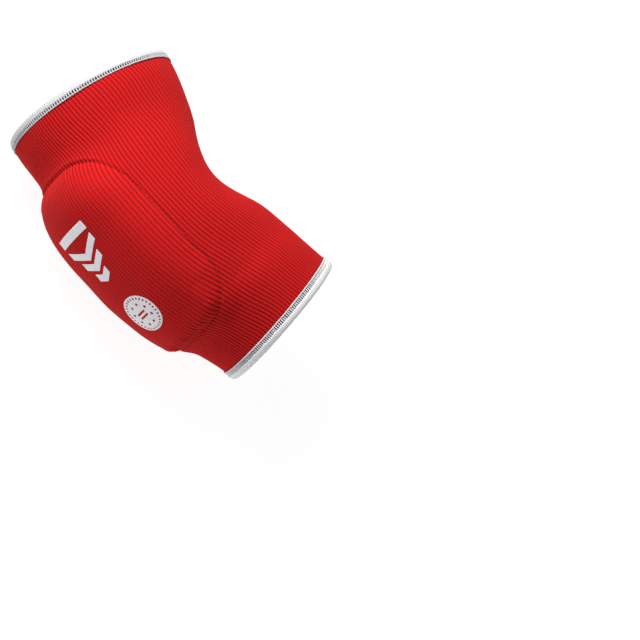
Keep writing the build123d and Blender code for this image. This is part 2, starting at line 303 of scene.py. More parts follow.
def set_uv(obj, uv_of_vertex, name="Knit", seam_u=None):
    """One UV per vertex. seam_u is the whole turn, added where a face crosses the seam."""
    mesh = obj.data
    layer = mesh.uv_layers.new(name=name)
    corners = np.zeros(len(mesh.loops), int)
    mesh.loops.foreach_get("vertex_index", corners)
    uv = np.asarray(uv_of_vertex, float)[corners]
    if seam_u:
        starts = np.zeros(len(mesh.polygons), int)
        counts = np.zeros(len(mesh.polygons), int)
        mesh.polygons.foreach_get("loop_start", starts)
        mesh.polygons.foreach_get("loop_total", counts)
        face = np.repeat(np.arange(len(starts)), counts)
        high = np.full(len(starts), -1e9)
        np.maximum.at(high, face, uv[:, 0])
        behind = high[face] - uv[:, 0] > seam_u / 2
        uv[behind, 0] += seam_u
    layer.data.foreach_set("uv", uv.ravel().astype(np.float32))


def join_groups(groups):
    """(points, faces) of several meshes as one."""
    points, faces, first = [], [], 0
    for p, f in groups:
        points.append(np.asarray(p, float).reshape(-1, 3))
        faces.extend([[i + first for i in q] for q in f])
        first += len(points[-1])
    return np.concatenate(points), faces


# ------------------------------------------------------------------ material helpers
class Nodes:
    """A short way to write a material's node tree."""

    def __init__(self, name):
        self.material = bpy.data.materials.new(name)
        self.material.use_nodes = True
        self.tree = self.material.node_tree
        self.shader = next(n for n in self.tree.nodes if n.type == "BSDF_PRINCIPLED")

    def add(self, kind, **settings):
        node = self.tree.nodes.new(kind)
        for key, value in settings.items():
            setattr(node, key, value)
        return node

    def put(self, socket, value):
        if hasattr(value, "is_linked") or isinstance(value, bpy.types.NodeSocket):
            self.tree.links.new(value, socket)
        else:
            socket.default_value = value

    def maths(self, operation, *values, clamp=False):
        node = self.add("ShaderNodeMath", operation=operation, use_clamp=clamp)
        for socket, value in zip(node.inputs, values):
            self.put(socket, value)
        return node.outputs[0]

    def noise(self, vector, scale, detail=3.0, rough=0.55):
        node = self.add("ShaderNodeTexNoise")
        self.put(node.inputs["Vector"], vector)
        node.inputs["Scale"].default_value = scale
        node.inputs["Detail"].default_value = detail
        node.inputs["Roughness"].default_value = rough
        return node.outputs["Fac"]

    def ramp(self, value, stops):
        node = self.add("ShaderNodeValToRGB")
        self.put(node.inputs[0], value)
        elements = node.color_ramp.elements
        while len(elements) < len(stops):
            elements.new(0.5)
        for element, (at, colour) in zip(elements, stops):
            element.position = at
            element.color = (*colour, 1.0)
        return node.outputs[0]

    def mix(self, factor, a, b, kind="MIX"):
        node = self.add("ShaderNodeMix", data_type="RGBA", blend_type=kind)
        self.put(node.inputs[0], factor)
        self.put(node.inputs[6], (*a, 1.0) if isinstance(a, tuple) else a)
        self.put(node.inputs[7], (*b, 1.0) if isinstance(b, tuple) else b)
        return node.outputs[2]

    def span(self, value, low, high, to_low, to_high):
        node = self.add("ShaderNodeMapRange")
        for socket, v in zip(node.inputs, (value, low, high, to_low, to_high)):
            self.put(socket, v)
        return node.outputs[0]

    def bump(self, height, distance_mm, strength=1.0, under=None):
        node = self.add("ShaderNodeBump")
        node.inputs["Strength"].default_value = strength
        node.inputs["Distance"].default_value = distance_mm * MM
        self.put(node.inputs["Height"], height)
        if under is not None:
            self.put(node.inputs["Normal"], under)
        return node.outputs[0]

    def uv(self, name="Knit"):
        node = self.add("ShaderNodeUVMap", uv_map=name)
        parts = self.add("ShaderNodeSeparateXYZ")
        self.put(parts.inputs[0], node.outputs[0])
        return node.outputs[0], parts.outputs[0], parts.outputs[1]

    def place(self):
        return self.add("ShaderNodeTexCoord").outputs["Object"]

    def surface(self, colour=None, rough=None, normal=None, **fixed):
        for socket, value in (("Base Color", colour), ("Roughness", rough), ("Normal", normal)):
            if value is not None:
                if isinstance(value, tuple):
                    value = (*value, 1.0)
                self.put(self.shader.inputs[socket], value)
        for socket, value in fixed.items():
            self.shader.inputs[socket.replace("_", " ")].default_value = value
        return self.material


def knit_material(name, lit, middle_tone, deep):
    """Rib knit: painted shade in the grooves between ribs, the colour running from lit on the rib tops to deep
    in the grooves; loops along each rib, fibre fuzz and slight patches of tone.

    Where the knit is stretched over the pad the grooves open, and the rows of loops show as much as the ribs.
    Under the hem's stitches the colour is painted almost black: painted shade in the gaps of the ladder.
    """
    m = Nodes(name)
    _, u, v = m.uv()
    _, stretch, painted_hem_shade = m.uv("Stretch_and_painted_shade")
    place = m.place()
    wobble = m.maths("MULTIPLY", m.maths("SUBTRACT", m.noise(place, 300.0, 2.0), 0.5), 0.5)
    across = m.maths("ABSOLUTE", m.maths("SUBTRACT", m.maths("MULTIPLY", m.maths("FRACT", u), 2.0), 1.0))
    course = m.maths("ADD", m.maths("ADD", v, wobble), m.maths("MULTIPLY", across, 0.35))
    loops = m.maths("ABSOLUTE", m.maths("SINE", m.maths("MULTIPLY", course, math.pi)))
    rib = m.maths("SUBTRACT", 1.0, m.maths("POWER", across, m.span(stretch, 0.0, 1.0, 2.3, 2.9)))
    fuzz = m.noise(place, 2600.0, 4.0, 0.7)
    patches = m.noise(place, 38.0, 3.0)
    tone = m.maths("MULTIPLY", rib, m.span(stretch, 0.0, 1.0, 0.74, 0.48))
    tone = m.maths("ADD", tone, m.maths("MULTIPLY", loops, m.span(stretch, 0.0, 1.0, 0.18, 0.44)))
    tone = m.maths("ADD", tone, m.maths("MULTIPLY", m.maths("SUBTRACT", fuzz, 0.5), 0.20))
    tone = m.maths("ADD", tone, m.maths("MULTIPLY", m.maths("SUBTRACT", patches, 0.5), 0.16))
    # painted shade: the ramp darkens the colour from lit on the rib tops to deep in the grooves between them
    colour = m.ramp(tone, [(0.02, deep), (0.45, middle_tone), (0.84, lit)])
    # painted shade: almost black under the hem's stitches, for the shaded gaps between the ladder's threads
    colour = m.mix(m.maths("MULTIPLY", painted_hem_shade, 0.93), colour, tuple(0.15 * c for c in deep))
    height = m.maths("ADD", m.maths("MULTIPLY", loops, 0.6), m.maths("MULTIPLY", rib, 0.5))
    normal = m.bump(height, 0.26, 0.7)
    normal = m.bump(fuzz, 0.10, 0.35, under=normal)
    rough = m.span(fuzz, 0.3, 0.7, 0.85, 0.97)
    return m.surface(colour, rough, normal, Sheen_Weight=0.06, Sheen_Roughness=0.5, Specular_IOR_Level=0.12,
                     Sheen_Tint=(1.0, 0.3, 0.25, 1.0))


def thread_material(name, light, dark):
    """Spun polyester thread: fine twisted strands across a soft matt surface."""
    m = Nodes(name)
    place = m.place()
    _, u, v = m.uv("Thread")
    twist = m.maths("ABSOLUTE", m.maths("SINE", m.maths("MULTIPLY", m.maths("ADD", u, v), math.pi)))
    fuzz = m.noise(place, 2200.0, 3.0, 0.65)
    tone = m.maths("ADD", m.maths("MULTIPLY", twist, 0.55), m.maths("MULTIPLY", fuzz, 0.45))
    colour = m.ramp(tone, [(0.05, dark), (0.55, light), (1.0, light)])
    normal = m.bump(m.maths("ADD", twist, m.maths("MULTIPLY", fuzz, 0.4)), 0.16, 0.7)
    rough = m.span(fuzz, 0.3, 0.7, 0.62, 0.82)
    return m.surface(colour, rough, normal, Specular_IOR_Level=0.15, Sheen_Weight=0.08)


def film_material(name):
    """Heat-transfer film: satin white, the knit's loops just showing, with fine crazing where it stretches."""
    m = Nodes(name)
    place = m.place()
    _, u, v = m.uv()
    across = m.maths("ABSOLUTE", m.maths("SUBTRACT", m.maths("MULTIPLY", m.maths("FRACT", u), 2.0), 1.0))
    course = m.maths("ADD", v, m.maths("MULTIPLY", across, 0.5))
    loops = m.maths("ABSOLUTE", m.maths("SINE", m.maths("MULTIPLY", course, math.pi)))
    groove = m.span(across, 0.8, 1.0, 0.0, 1.0)
    worn = m.maths("MULTIPLY", groove, m.span(m.noise(place, 420.0, 2.0), 0.42, 0.62, 0.0, 1.0))
    colour = m.mix(m.maths("MULTIPLY", worn, 0.55), (0.82, 0.83, 0.88), (0.62, 0.20, 0.20))
    colour = m.mix(m.span(m.noise(place, 90.0, 3.0), 0.4, 0.7, 0.0, 0.18), colour, (0.72, 0.66, 0.66))
    height = m.maths("ADD", m.maths("MULTIPLY", loops, 0.4), m.maths("SUBTRACT", 1.0, across))
    normal = m.bump(height, 0.16, 0.5)
    rough = m.span(m.noise(place, 700.0, 3.0), 0.3, 0.7, 0.38, 0.6)
    return m.surface(colour, rough, normal, Specular_IOR_Level=0.45)


def foam_material(name, light, dark, cell):
    """Foam: small cells, some open, and a slightly uneven tone."""
    m = Nodes(name)
    place = m.place()
    cells = m.add("ShaderNodeTexVoronoi")
    m.put(cells.inputs["Vector"], place)
    cells.inputs["Scale"].default_value = cell
    distance = cells.outputs["Distance"]
    patches = m.noise(place, 60.0, 3.0)
    tone = m.maths("ADD", m.maths("MULTIPLY", distance, 0.8), m.maths("MULTIPLY", patches, 0.4))
    colour = m.ramp(tone, [(0.15, dark), (0.7, light), (1.0, light)])
    normal = m.bump(distance, 0.25, 0.8)
    return m.surface(colour, m.span(patches, 0.3, 0.7, 0.8, 0.95), normal, Specular_IOR_Level=0.2)


def tricot_material(name, light, dark):
    """Brushed tricot lining: fine close columns with a short nap."""
    m = Nodes(name)
    place = m.place()
    _, u, v = m.uv()
    columns = m.maths("ABSOLUTE", m.maths("SINE", m.maths("MULTIPLY", u, math.pi * 3)))
    rows = m.maths("ABSOLUTE", m.maths("SINE", m.maths("MULTIPLY", v, math.pi * 2)))
    fuzz = m.noise(place, 1900.0, 4.0, 0.7)
    weave = m.maths("MULTIPLY", m.maths("ADD", columns, rows), 0.25)
    tone = m.maths("ADD", weave, m.maths("MULTIPLY", fuzz, 0.5))
    colour = m.ramp(tone, [(0.1, dark), (0.75, light), (1.0, light)])
    normal = m.bump(tone, 0.16, 0.7)
    rough = m.span(fuzz, 0.3, 0.7, 0.8, 0.95)
    return m.surface(colour, rough, normal, Sheen_Weight=0.3, Specular_IOR_Level=0.2)


# knit_red: lit is the rib tops' colour; middle_tone and deep are painted shade towards and in the grooves
knit_red = knit_material("knit_red", (0.61, 0.0100, 0.0105), (0.40, 0.0060, 0.0066), (0.175, 0.0022, 0.0034))
thread_white = thread_material("thread_white", (0.92, 0.92, 0.93), (0.70, 0.69, 0.72))
# painted shade: a darker copy of the white thread for the upper cuff, so its roll and ladder read grey against
# the white backdrop
thread_painted_shade = thread_material("thread_white_painted_shade", (0.60, 0.60, 0.62), (0.42, 0.41, 0.44))
thread_red = thread_material("thread_red", (0.36, 0.008, 0.009), (0.14, 0.003, 0.004))
print_white = film_material("print_white")
foam_firm = foam_material("foam_firm", (0.055, 0.055, 0.06), (0.012, 0.012, 0.014), 700.0)
foam_soft = foam_material("foam_soft", (0.74, 0.70, 0.58), (0.42, 0.38, 0.28), 520.0)
lining_black = tricot_material("lining_black", (0.055, 0.055, 0.06), (0.010, 0.010, 0.012))
elastic_white = tricot_material("elastic_white", (0.78, 0.78, 0.78), (0.45, 0.45, 0.45))
label_white = tricot_material("label_white", (0.82, 0.82, 0.80), (0.60, 0.60, 0.58))


def finish_piece(obj, material):
    obj.data.materials.clear()
    obj.data.materials.append(material)
    return obj


def bends(obj):
    """Bakes the piece's placement into its mesh."""
    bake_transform(obj)


# ---------------------------------------- knit tube, with the pad's cover in one piece
OUTER_ROWS, INNER_ROWS = 164, 82
RIB_STEPS = np.array([0.0, 0.13, 0.31, 0.5, 0.69, 0.87])


def knit_tube():
    """One closed shell: ribbed outside, and an inside with the reverse of the ribs."""
    turn_phase = (np.arange(RIBS)[:, None] + RIB_STEPS[None, :]).ravel()
    turn = turn_phase / RIBS * TAU - math.pi
    outer_s = np.linspace(UPPER_END + TRIM, LOWER_END - TRIM, OUTER_ROWS)
    inner_s = np.linspace(LOWER_END - TRIM, UPPER_END + TRIM, INNER_ROWS)
    s, t = np.meshgrid(outer_s, turn, indexing="ij")
    moved = crowded_turn(s, t)
    moved = moved + rib_shift(s, moved) / RIBS * TAU
    outside = skin(s, moved, knit_out(s, moved, phase=t / TAU * RIBS))
    si, ti = np.meshgrid(inner_s, turn, indexing="ij")
    w = ti * girth_radius(si)
    reverse = 0.22 * rib_profile(ti / TAU * RIBS + 0.5)
    inside = skin(si, ti, np.maximum(pad_height(si, w), 0) - KNIT - reverse * 0.6)
    points = np.concatenate([outside.reshape(-1, 3), inside.reshape(-1, 3)])
    columns = len(turn)
    rows = len(outer_s) + len(inner_s)
    grid = grid_faces(rows, columns)
    last = (rows - 1) * columns
    c = np.arange(columns)
    close = np.stack([last + c, last + (c + 1) % columns, (c + 1) % columns, c], -1)
    faces = np.concatenate([grid, close])
    obj = new_object("knit_tube", points, faces)
    u = np.concatenate([np.tile(turn_phase, len(outer_s)), np.tile(turn_phase + 0.5, len(inner_s))])
    v = np.concatenate([np.repeat(outer_s, columns), np.repeat(inner_s, columns)]) / COURSE
    set_uv(obj, np.stack([u, v], -1), seam_u=RIBS)
    d, _ = pad_edge(s, moved * girth_radius(s))
    share = np.concatenate([ease((-d - 2) / 16).ravel(), np.zeros(si.size)])
    # painted shade: 1 under the hem's stitches, where the knit's colour is darkened to stand in for shadow
    shade = np.concatenate([sewn(s).ravel(), np.zeros(si.size)])
    set_uv(obj, np.stack([share, shade], -1), "Stretch_and_painted_shade")
    return obj


knit = finish_piece(knit_tube(), knit_red)
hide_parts("sleeve_knit", "pad_cover", "upper_cuff_knit", "lower_cuff_knit")
bends(knit)


# ------------------------------------------------------------------ hems
def hem_frame(end):
    """Centre of an open end, the direction out of it, and the two directions across it."""
    point, along, padward = middle(np.array(float(end)))
    side = -1.0 if end < 0 else 1.0
    return point, along * side, padward, np.array([0.0, 0.0, 1.0])


def ring_points(end, profile_of, count):
    """Rings round an open end. profile_of(angles) gives (count, k, 2): radius and distance out of the end."""
    point, out, padward, up = hem_frame(end)
    angle = np.arange(count) / count * TAU
    profile = profile_of(angle)
    direction = padward * np.cos(angle)[:, None] + up * np.sin(angle)[:, None]
    return point + direction[:, None, :] * profile[..., :1] + out * profile[..., 1:2]


def overlock_roll(name, end, radius, inside, pull, threads, seed):
    """Thread wrapped densely over the edge, each strand a low ridge that slants a little."""
    per = 4
    outer = radius + 0.8
    edge = radius - pull
    loop = [
        (radius - 0.3, -HEM), (outer - 0.25, -HEM - 0.05), (outer, -HEM + 0.45),
        (outer - 0.02 * pull, -HEM * 0.70), (outer - 0.12 * pull, -HEM * 0.38),
        (outer - 0.35 * pull, -HEM * 0.06), (outer - 0.75 * pull, 0.42), (edge - 0.2, 0.62),
        ((edge + inside) / 2 - 0.1, 0.6), (inside + 0.35, 0.35), (inside + 0.05, 0.0), (inside, -0.5),
        (inside - 0.02, -HEM * 0.5), (inside, -HEM + 0.4), (inside + 0.25, -HEM), (inside + 0.7, -HEM),
        (inside + 0.7, -0.6), (edge - 0.2, -0.5),
    ]
    loop = np.array(loop)
    visible = np.ones(len(loop))
    visible[-3:] = 0.0
    centre = np.array([(radius + inside) / 2 - 0.3, -HEM / 2])
    outward = loop - centre
    outward = outward / np.linalg.norm(outward, axis=1)[:, None]
    random = np.random.default_rng(seed)
    lift = random.normal(0, 0.05, threads)
    sway = random.normal(0, 0.09, threads)

    def profile_of(angle):
        phase = angle / TAU * threads
        strand = np.floor(phase).astype(int) % threads
        ridge = np.abs(np.sin(math.pi * phase)) ** 0.7
        swell = 0.26 * (ridge - 1) + lift[strand] + 0.06 * np.sin(5 * angle + seed)
        pts = loop[None] + outward[None] * (swell[:, None] * visible[None])[..., None]
        pts[:, :4, 1] += sway[strand][:, None] * 1.2
        return pts

    count = threads * per
    points = ring_points(end, profile_of, count)
    k = points.shape[1]
    r, c = np.meshgrid(np.arange(count), np.arange(k), indexing="ij")
    here, ahead, beside = r * k, (r + 1) % count * k, (c + 1) % k
    quads = np.stack([here + c, here + beside, ahead + beside, ahead + c], -1)
    faces = quads.reshape(-1, 4)
    if end > 0:
        faces = faces[:, ::-1]
    obj = new_object(name, points, faces)
    path = np.concatenate([[0], np.cumsum(np.linalg.norm(np.diff(loop, axis=0), axis=1))])
    u = np.repeat(np.arange(count) / per, k)
    v = np.tile(path * 0.35, count)
    set_uv(obj, np.stack([u, v], -1), "Thread", seam_u=threads)
    return obj


CAPSULE_POINTS = 30       # points in one capsule: five rings of six


def capsule(start, end, radius, sides=6, taper=0.45, up=None, twist=0.0):
    """A short rounded thread from start to end, as points and faces."""
    start, end = np.asarray(start, float), np.asarray(end, float)
    axis = end - start
    length = np.linalg.norm(axis)
    axis = axis / length
    side = np.cross(axis, up if up is not None else (0.3, 0.5, 0.81))
    side = side / np.linalg.norm(side)
    other = np.cross(axis, side)
    stations = [(0.0, 0.25), (0.12, taper + 0.35), (0.5, 1.0), (0.88, taper + 0.35), (1.0, 0.25)]
    points = []
    for t, size in stations:
        for i in range(sides):
            a = TAU * i / sides + twist * t
            outward = side * math.cos(a) + other * math.sin(a)
            points.append(start + axis * length * t + outward * radius * size)
    faces = [list(q) for q in grid_faces(len(stations), sides)]
    faces.append(list(range(sides))[::-1])
    faces.append([(len(stations) - 1) * sides + i for i in range(sides)])
    return points, faces


def thread_uv(obj, points_each):
    """Twist lines along each short thread."""
    count = len(obj.data.vertices)
    index = np.arange(count) % points_each
    u = (index % 6) / 3.0
    v = (index // 6) * 1.2
    set_uv(obj, np.stack([u, v], -1), "Thread")


def looper_bars(name, end, radius, threads, ladder, thick, seed):
    """The ladder of looper threads between the roll and the needle line."""
    point, out, padward, up = hem_frame(end)
    random = np.random.default_rng(seed)
    groups = []
    for i in range(threads):
        a = TAU * (i + 0.5) / threads
        near = a + random.normal(0, 0.0010)
        far = a + random.normal(0, 0.0018)
        d_near = padward * math.cos(near) + up * math.sin(near)
        d_far = padward * math.cos(far) + up * math.sin(far)
        start = point + d_near * (radius + 0.18) - out * (HEM - 0.35)
        stop = point + d_far * (radius + 0.02) - out * (HEM + ladder + 0.3 + random.normal(0, 0.05))
        groups.append(capsule(start, stop, thick + random.normal(0, 0.015), up=d_near, taper=0.62))
    points, faces = join_groups(groups)
    obj = new_object(name, points, faces)
    thread_uv(obj, CAPSULE_POINTS)
    return obj


def needle_line(name, end, radius, threads, ladder, seed):
    """The needle thread: a line of short stitches that dip into the knit between them."""
    point, out, padward, up = hem_frame(end)
    random = np.random.default_rng(seed)
    groups = []
    for i in range(threads):
        ends = []
        for share in (-0.02, 1.02):
            angle = TAU * (i + share) / threads
            d = padward * math.cos(angle) + up * math.sin(angle)
            at = HEM + ladder + NEEDLE / 2 + random.normal(0, 0.04)
            ends.append(point + d * (radius + 0.30) - out * at)
        groups.append(capsule(ends[0], ends[1], NEEDLE / 2, up=ends[0] - point, taper=0.5, twist=1.5))
    points, faces = join_groups(groups)
    obj = new_object(name, points, faces)
    thread_uv(obj, CAPSULE_POINTS)
    return obj


def elastic_band(name, end, radius):
    """The flat elastic inside the hem, with its woven edge cords."""
    outer = radius - KNIT - 0.3
    inner = outer - 0.65
    loop = np.array([(outer, -0.8), (inner, -0.8), (inner - 0.05, -1.2), (inner, -2.0), (inner - 0.05, -3.0),
                     (inner, -3.8), (outer, -3.8), (outer + 0.03, -2.0)])

    def profile_of(angle):
        pts = np.repeat(loop[None], len(angle), axis=0)
        pts[..., 0] += 0.04 * np.sin(angle * 90)[:, None]
        return pts

    count = 360
    points = ring_points(end, profile_of, count)
    k = points.shape[1]
    r, c = np.meshgrid(np.arange(count), np.arange(k), indexing="ij")
    here, ahead, beside = r * k, (r + 1) % count * k, (c + 1) % k
    quads = np.stack([here + c, ahead + c, ahead + beside, here + beside], -1)
    faces = quads.reshape(-1, 4)
    if end > 0:
        faces = faces[:, ::-1]
    obj = new_object(name, points, faces)
    u = np.repeat(np.arange(count) / 2.0, k)
    v = np.tile(np.arange(k) * 1.0, count)
    set_uv(obj, np.stack([u, v], -1), seam_u=count / 2)
    return obj


HEMS = [
    ("upper_cuff", UPPER_END, UPPER_R, 0.0, PULL_UPPER, 196, UPPER_LADDER, 0.56, "upper_arm", 31),
    ("lower_cuff", LOWER_END, LOWER_R, STAND, PULL_LOWER, 214, LOWER_LADDER, 0.44, "forearm", 57),
]
for cuff, end, radius, stand, pull, threads, ladder, thick, body, seed in HEMS:
    inside = radius - KNIT - ELASTIC - HEM_GAP - THREAD
    # painted shade: the upper cuff gets the darker copy of the white thread
    thread = thread_painted_shade if end < 0 else thread_white
    roll = overlock_roll(cuff + "_roll", end, radius + stand, inside, pull, threads, seed)
    finish_piece(roll, thread)
    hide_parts(cuff + "_overlock")
    bars = looper_bars(cuff + "_ladder", end, radius + stand, threads, ladder, thick, seed + 1)
    finish_piece(bars, thread)
    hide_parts(cuff + "_bars")
    line = needle_line(cuff + "_needle_line", end, radius + stand, threads, ladder, seed + 2)
    finish_piece(line, thread)
    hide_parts(cuff + "_needle_thread")
    band = finish_piece(elastic_band(cuff + "_band", end, radius), elastic_white)
    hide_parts(cuff + "_elastic")
    for piece in (roll, bars, line, band):
        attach(piece, body)


# ------------------------------------------------------------------ pad seam stitches
def pad_outline(inset, count):
    """Points round the pad's outline in the unrolled knit (s, w), evenly spaced, and its length."""
    corner = PAD_CORNER - inset
    a, b = PAD_HALF_LENGTH - inset - corner, PAD_HALF_WIDTH - inset - corner
    fine = []
    for cx, cy, first in ((a, b, 0.0), (-a, b, 0.5), (-a, -b, 1.0), (a, -b, 1.5)):
        for k in range(41):
            angle = math.pi * (first + 0.5 * k / 40)
            s = PAD_S + cx + corner * math.cos(angle)
            fine.append((s, cy + corner * math.sin(angle) - math.copysign(pad_taper(s), cy)))
    fine.append(fine[0])
    fine = np.array(fine)
    run = np.concatenate([[0], np.cumsum(np.linalg.norm(np.diff(fine, axis=0), axis=1))])
    at = np.arange(count) / count * run[-1]
    return np.stack([np.interp(at, run, fine[:, k]) for k in (0, 1)], -1), run[-1]


def surface_point(s, w, out):
    return skin(s, w / girth_radius(s), out)


def seam_stitches():
    """Two-ply stitches in the groove round the pad, and the same stitches on the arm's side."""
    random = np.random.default_rng(91)
    _, length = pad_outline(-0.3, 10)
    stitches = int(length / 3.1)
    line, _ = pad_outline(-0.3, stitches * 8)
    groups = []
    for i in range(stitches):
        for first, last, inside in ((0.4, 6.9, False), (1.0, 6.6, True)):
            ends = []
            for at in (first, last):
                k = (i * 8 + at) % len(line)
                low, part = int(k), k % 1
                s, w = line[low] * (1 - part) + line[(low + 1) % len(line)] * part
                wobble = random.normal(0, 0.10)
                turn = w / girth_radius(s)
                out = -KNIT - 0.45 if inside else knit_out(np.array(s), np.array(turn), flat=0.5) - 0.05
                ends.append(surface_point(np.array(s), np.array(w + wobble), out))
            across = np.cross(ends[1] - ends[0], ends[0] - middle(np.array(s))[0])
            across = across / np.linalg.norm(across)
            for ply in (-1, 1):
                shift = across * 0.17 * ply
                groups.append(capsule(ends[0] + shift, ends[1] - shift, 0.25, up=ends[0], taper=0.6))
    points, faces = join_groups(groups)
    obj = new_object("pad_stitching", points, faces)
    thread_uv(obj, CAPSULE_POINTS)
    return obj


stitching = finish_piece(seam_stitches(), thread_red)
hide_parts("pad_seam_thread")
bends(stitching)


# ------------------------------------------------------------------ pad layers
def layer(name, inset, low_of, high_of, rings=22, count=150):
    """A closed slab over the pad's outline, from low_of(s, w, d) to high_of(s, w, d) above the plain sleeve."""
    edge, _ = pad_outline(inset, count)
    centre = np.array([PAD_S, 0.0])
    share = np.sin(np.linspace(0, 1, rings) * math.pi / 2)[1:]
    plan = centre + (edge[None] - centre) * share[:, None, None]
    points = []
    for height_of in (high_of, low_of):
        flat = np.concatenate([centre[None], plan.reshape(-1, 2)])
        s, w = flat[:, 0], flat[:, 1]
        d, _ = pad_edge(s, w, inset)
        points.append(surface_point(s, w, height_of(s, w, d)))
    n = len(points[0])
    faces = []
    for first, flip in ((0, False), (n, True)):
        fan = [[first, first + 1 + i, first + 1 + (i + 1) % count] for i in range(count)]
        quads = [list(q) for q in grid_faces(len(share), count, first + 1)]
        quads = [[q[0], q[3], q[2], q[1]] for q in quads]
        both = fan + quads
        faces += [q[::-1] for q in both] if flip else both
    rim = n - count
    for i in range(count):
        j = (i + 1) % count
        faces.append([rim + i, n + rim + i, n + rim + j, rim + j])
    obj = new_object(name, np.concatenate(points), faces)
    flat = np.concatenate([centre[None], plan.reshape(-1, 2)])
    set_uv(obj, np.tile(np.stack([flat[:, 1] / 2.4, flat[:, 0] / COURSE], -1), (2, 1)))
    return obj


def rounded(d, over):
    """0 at the edge of a slab to 1 from over mm inside it, on a quarter circle."""
    t = np.clip(-d / over, 0, 1)
    return np.sqrt(np.clip(2 * t - t * t, 0, 1))


COMFORT_LOW, COMFORT_HIGH = -0.5, 3.4


def dome_under(s, w):
    return np.maximum(pad_height(s, w) - KNIT - 0.9, COMFORT_LOW + 0.3)


def impact_top(s, w, d):
    dome = (dome_under(s, w) - COMFORT_HIGH - 0.6) * rounded(d, 5)
    return np.maximum(COMFORT_HIGH + 0.6 + dome, COMFORT_HIGH + 0.6)


def comfort_top(s, w, d):
    dome = np.minimum(COMFORT_HIGH - COMFORT_LOW - 0.3, dome_under(s, w) - COMFORT_LOW - 0.3)
    return COMFORT_LOW + 0.3 + dome * rounded(d, 3)


impact = layer(
    "impact_block", 5.0, lambda s, w, d: np.full_like(s, COMFORT_HIGH + 0.25) + 0.2 * rounded(d, 3), impact_top,
)
comfort = layer("comfort_layer", 3.0, lambda s, w, d: np.full_like(s, COMFORT_LOW), comfort_top)
lining = layer(
    "pad_lining_cloth", -2.2,
    lambda s, w, d: -KNIT - 0.75 + 0.35 * (1 - rounded(d, 3)) - 0.06 * waves(41, 6, 6, 20, s, w),
    lambda s, w, d: np.full_like(s, -KNIT - 0.12),
)
for piece, material, slot_name, node in (
    (impact, foam_firm, "foam_firm", "impact_foam"),
    (comfort, foam_soft, "foam_soft", "comfort_foam"),
    (lining, lining_black, "lining", "pad_lining"),
):
    finish_piece(piece, material)
    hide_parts(node)
    bends(piece)


# ---------------------------------------- prints, cut in the unrolled knit and laid over the ribs
def disc(cx, cy, r, count=72):
    return [(cx + r * math.cos(TAU * i / count), cy + r * math.sin(TAU * i / count)) for i in range(count)]


def inside_polygon(points, polygon):
    x, y = points[:, 0], points[:, 1]
    found = np.zeros(len(points), bool)
    for (x1, y1), (x2, y2) in zip(polygon, polygon[1:] + polygon[:1]):
        if y1 == y2:
            continue
        crosses = (y1 > y) != (y2 > y)
        found ^= crosses & (x < (x2 - x1) * (y - y1) / (y2 - y1) + x1)
    return found


def film(name, shapes, holes, step=0.55):
    """A thin film over the knit: shapes less holes, each a closed polygon in (s, w)."""
    outlines = shapes + holes
    every = np.array([p for o in outlines for p in o])
    low, high = every.min(0) - step, every.max(0) + step
    gs, gw = np.meshgrid(np.arange(low[0], high[0], step), np.arange(low[1], high[1], step), indexing="ij")
    inner = np.stack([gs.ravel(), gw.ravel()], -1)
    keep = np.zeros(len(inner), bool)
    for polygon in shapes:
        keep |= inside_polygon(inner, polygon)
    for polygon in holes:
        keep &= ~inside_polygon(inner, polygon)
    verts, edges = [], []
    for polygon in outlines:
        ring = []
        for (x1, y1), (x2, y2) in zip(polygon, polygon[1:] + polygon[:1]):
            parts = max(1, int(math.hypot(x2 - x1, y2 - y1) / step))
            ring += [(x1 + (x2 - x1) * i / parts, y1 + (y2 - y1) * i / parts) for i in range(parts)]
        first = len(verts)
        verts += ring
        edges += [(first + i, first + (i + 1) % len(ring)) for i in range(len(ring))]
    verts += [tuple(p) for p in inner[keep]]
    out_verts, _, out_faces, _, _, _ = delaunay_2d_cdt([Vector(v) for v in verts], edges, [], 0, 1e-5)
    flat = np.array([tuple(v) for v in out_verts])
    triangles = np.array([list(f) for f in out_faces if len(f) == 3])
    mid = flat[triangles].mean(1)
    wanted = np.zeros(len(mid), bool)
    for polygon in shapes:
        wanted |= inside_polygon(mid, polygon)
    for polygon in holes:
        wanted &= ~inside_polygon(mid, polygon)
    corners = flat[triangles]
    longest = np.linalg.norm(corners - np.roll(corners, 1, axis=1), axis=2).max(1)
    triangles = triangles[wanted & (longest < 3 * step)]
    used, triangles = np.unique(triangles, return_inverse=True)
    flat, triangles = flat[used], triangles.reshape(-1, 3)
    s, w = flat[:, 0], flat[:, 1]
    turn = w / girth_radius(s)
    top = knit_out(s, turn, flat=0.45)
    points = np.concatenate([skin(s, turn, top + 0.16), skin(s, turn, top - 0.05)])
    n = len(flat)
    faces = [list(t) for t in triangles] + [[a + n, c + n, b + n] for a, b, c in triangles]
    directed = {}
    for a, b, c in triangles:
        for p, q in ((a, b), (b, c), (c, a)):
            directed[(p, q)] = True
    faces += [[q, p, p + n, q + n] for p, q in directed if (q, p) not in directed]
    obj = new_object(name, points, faces)
    bm = bmesh.new()
    bm.from_mesh(obj.data)
    bmesh.ops.recalc_face_normals(bm, faces=bm.faces)
    bm.to_mesh(obj.data)
    bm.free()
    phase = (even_turn(s, turn) + math.pi) / TAU * RIBS - rib_shift(s, turn)
    set_uv(obj, np.tile(np.stack([phase, s / COURSE], -1), (2, 1)))
    return obj


# over the pad the knit is stretched by these, along the arm and round it
ALONG, ROUND = 1.31, 1.25


def laid(station, shape):
    """A shape in mm on the pad, with its middle at a station, as it lies in the unrolled knit."""
    return [(station + x / ALONG, y / ROUND) for x, y in shape]


def bar(x0, x1, y0, y1):
    return [(x0, y0), (x1, y0), (x1, y1), (x0, y1)]


